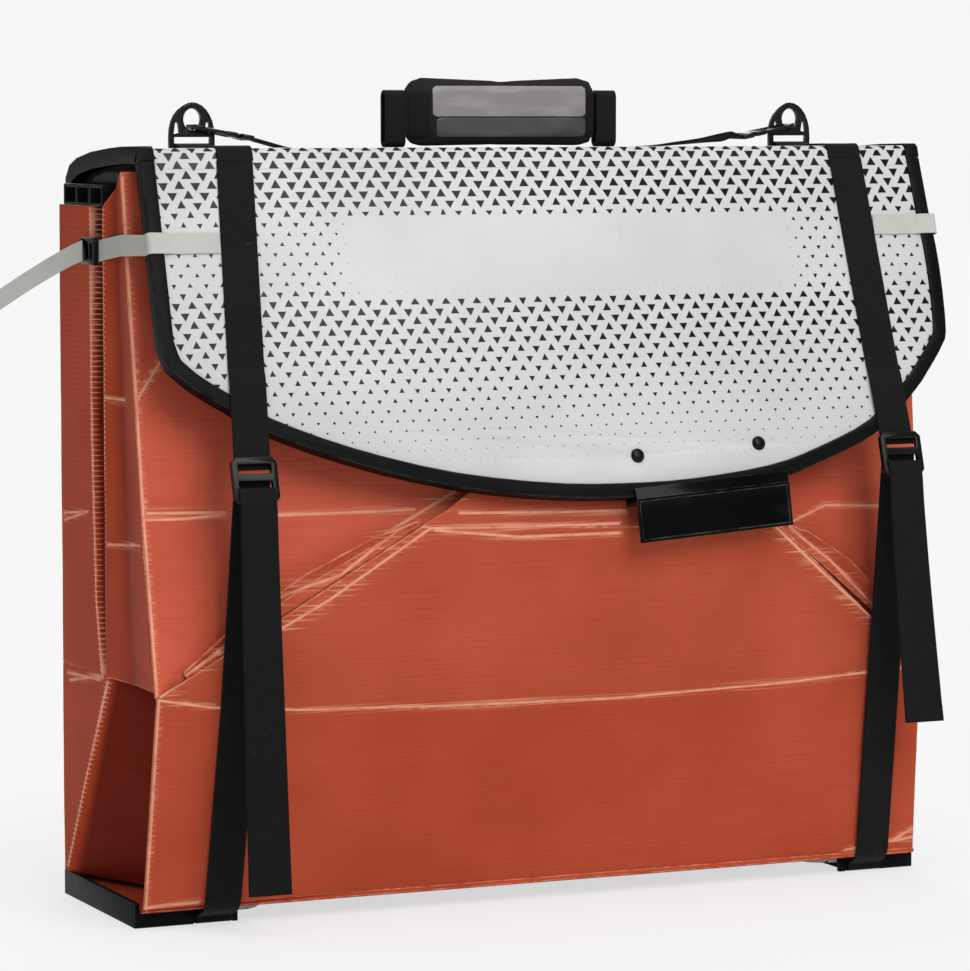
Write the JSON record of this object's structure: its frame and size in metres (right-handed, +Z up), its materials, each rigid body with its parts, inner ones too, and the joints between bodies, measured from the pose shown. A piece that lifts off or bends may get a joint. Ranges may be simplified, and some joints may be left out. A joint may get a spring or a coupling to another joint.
{
  "type": "folded kayak in its carrying box form",
  "caption": "Folding kayak packed flat: pleated orange hull wrapped by its white floorboard as base, back, lid and front flap, held by two webbing straps, with a carry strap and pad.",
  "frame": {"origin": "middle of the outer box's footprint, on the floor that the base stands on", "axes": "+X to the right of the printed front flap, +Y to the back, +Z up"},
  "size_m": [0.9952, 0.3262, 0.8],
  "materials": {
    "sheet": "translucent orange corrugated polypropylene sheet, satin",
    "inner_sheet": "the same sheet in the shade of the folds",
    "board": "white laminated board, satin, printed with a dark lozenge grid",
    "edging": "black flexible edging, satin",
    "webbing": "black woven polypropylene webbing",
    "grey_webbing": "light grey woven webbing",
    "moulded": "black moulded plastic, semi-gloss",
    "foam": "dark grey closed-cell foam",
    "pad_cloth": "black padded cloth"
  },
  "bodies": {
    "box": {"hull_front_lower": "sheet", "hull_front_belly": "sheet", "hull_front_brow": "sheet", "hull_pleat_left": "sheet", "hull_facet_left": "sheet", "hull_pleat_right": "sheet", "hull_facet_right": "sheet", "hull_side_left": "sheet", "hull_gusset_left": "sheet", "hull_side_right": "sheet", "hull_gusset_right": "sheet", "hull_back": "sheet", "hull_bottom": "sheet", "hull_inner_leaves": "inner_sheet", "seam_rail_1": "moulded", "seam_rail_2": "moulded", "seam_rail_3": "moulded", "deck_pad": "foam", "bulkhead_bow": "board", "bulkhead_stern": "board", "seat": "foam", "footrest": "foam", "base_board": "board", "base_trim_left": "edging", "base_trim_right": "edging", "cover_back": "board", "strap_loop_left": "webbing", "strap_loop_right": "webbing"},
    "lid": {"cover_lid": "board", "lid_edging_left": "edging", "lid_edging_right": "edging", "strap_lid_left": "webbing", "strap_lid_right": "webbing", "carry_strap": "webbing"},
    "flap": {"flap_board": "board", "flap_edging": "edging", "flap_rivet_left": "moulded", "flap_rivet_right": "moulded", "flap_clip": "moulded", "strap_flap_left": "webbing", "strap_flap_right": "webbing", "side_strap_left": "grey_webbing", "side_strap_right": "grey_webbing"},
    "pad_carrier": {"pad_loop_left": "webbing", "pad_loop_right": "webbing"},
    "shoulder_pad": {"pad": "pad_cloth"},
    "left_buckle": {"buckle_left": "moulded"},
    "left_strap_tail": {"strap_tail_left": "webbing"},
    "left_side_buckle": {"side_buckle_left": "moulded"},
    "left_side_tail": {"side_tail_left": "grey_webbing"},
    "left_ring": {"ring_left": "moulded"},
    "left_hook": {"hook_left": "moulded"},
    "left_gate": {"hook_gate_left": "moulded"},
    "right_buckle": {"buckle_right": "moulded"},
    "right_strap_tail": {"strap_tail_right": "webbing"},
    "right_side_buckle": {"side_buckle_right": "moulded"},
    "right_side_tail": {"side_tail_right": "grey_webbing"},
    "right_ring": {"ring_right": "moulded"},
    "right_hook": {"hook_right": "moulded"},
    "right_gate": {"hook_gate_right": "moulded"}
  },
  "joints": [
    {"name": "lid_hinge", "type": "hinge", "parent": "box", "child": "lid", "pos_m": [-0.00225, 0.16453, 0.69], "axis": [-1, 0, 0], "range_deg": [0, 110]},
    {"name": "flap_hinge", "type": "hinge", "parent": "lid", "child": "flap", "pos_m": [-0.00225, -0.05819, 0.72218], "axis": [-1, 0, 0], "range_deg": [0, 100]},
    {"name": "pad_slide", "type": "slide", "parent": "lid", "child": "pad_carrier", "axis": [1, 0, 0], "range_m": [-0.095, 0.028]},
    {"name": "pad_roll", "type": "hinge", "parent": "pad_carrier", "child": "shoulder_pad", "pos_m": [-0.00225, 0.07103, 0.728], "axis": [-1, 0, 0], "range_deg": [0, 80]},
    {"name": "left_buckle_tilt", "type": "hinge", "parent": "flap", "child": "left_buckle", "pos_m": [-0.33625, -0.1408, 0.44889], "axis": [-1, 0, 0], "range_deg": [0, 35]},
    {"name": "left_tail_swing", "type": "hinge", "parent": "left_buckle", "child": "left_strap_tail", "pos_m": [-0.33625, -0.15546, 0.42196], "axis": [-1, 0, 0], "range_deg": [0, 50]},
    {"name": "left_side_buckle_tilt", "type": "hinge", "parent": "flap", "child": "left_side_buckle", "pos_m": [-0.4233, 0.03253, 0.628], "axis": [0, 0, 1], "range_deg": [0, 40]},
    {"name": "left_side_tail_swing", "type": "hinge", "parent": "left_side_buckle", "child": "left_side_tail", "pos_m": [-0.4286, 0.06253, 0.628], "axis": [0, 0, 1], "range_deg": [-25, 40]},
    {"name": "left_ring_rock", "type": "hinge", "parent": "lid", "child": "left_ring", "pos_m": [-0.31825, 0.06253, 0.73153], "axis": [1, 0, 0], "range_deg": [-5, 5]},
    {"name": "left_hook_lift", "type": "hinge", "parent": "lid", "child": "left_hook", "pos_m": [-0.31828, 0.06253, 0.75255], "axis": [0, -1, 0], "range_deg": [0, 25]},
    {"name": "left_gate_press", "type": "hinge", "parent": "left_hook", "child": "left_gate", "pos_m": [-0.28716, 0.05323, 0.74652], "axis": [-0.19, 0, -0.9818], "range_deg": [0, 12], "stiffness_Nm_per_rad": 0.02, "springref_deg": -11.46},
    {"name": "right_buckle_tilt", "type": "hinge", "parent": "flap", "child": "right_buckle", "pos_m": [0.34475, -0.13994, 0.45176], "axis": [-1, 0, 0], "range_deg": [0, 35]},
    {"name": "right_tail_swing", "type": "hinge", "parent": "right_buckle", "child": "right_strap_tail", "pos_m": [0.34475, -0.1546, 0.42484], "axis": [-1, 0, 0], "range_deg": [0, 50]},
    {"name": "right_side_buckle_tilt", "type": "hinge", "parent": "flap", "child": "right_side_buckle", "pos_m": [0.4233, 0.03253, 0.638], "axis": [0, 0, -1], "range_deg": [0, 40]},
    {"name": "right_side_tail_swing", "type": "hinge", "parent": "right_side_buckle", "child": "right_side_tail", "pos_m": [0.4286, 0.06253, 0.638], "axis": [0, 0, -1], "range_deg": [-25, 40]},
    {"name": "right_ring_rock", "type": "hinge", "parent": "lid", "child": "right_ring", "pos_m": [0.32975, 0.06253, 0.73153], "axis": [1, 0, 0], "range_deg": [-5, 5]},
    {"name": "right_hook_lift", "type": "hinge", "parent": "lid", "child": "right_hook", "pos_m": [0.32979, 0.06253, 0.75255], "axis": [0, 1, 0], "range_deg": [0, 25]},
    {"name": "right_gate_press", "type": "hinge", "parent": "right_hook", "child": "right_gate", "pos_m": [0.29867, 0.05323, 0.74652], "axis": [-0.19, 0, 0.9818], "range_deg": [0, 12], "stiffness_Nm_per_rad": 0.02, "springref_deg": -11.46}
  ]
}
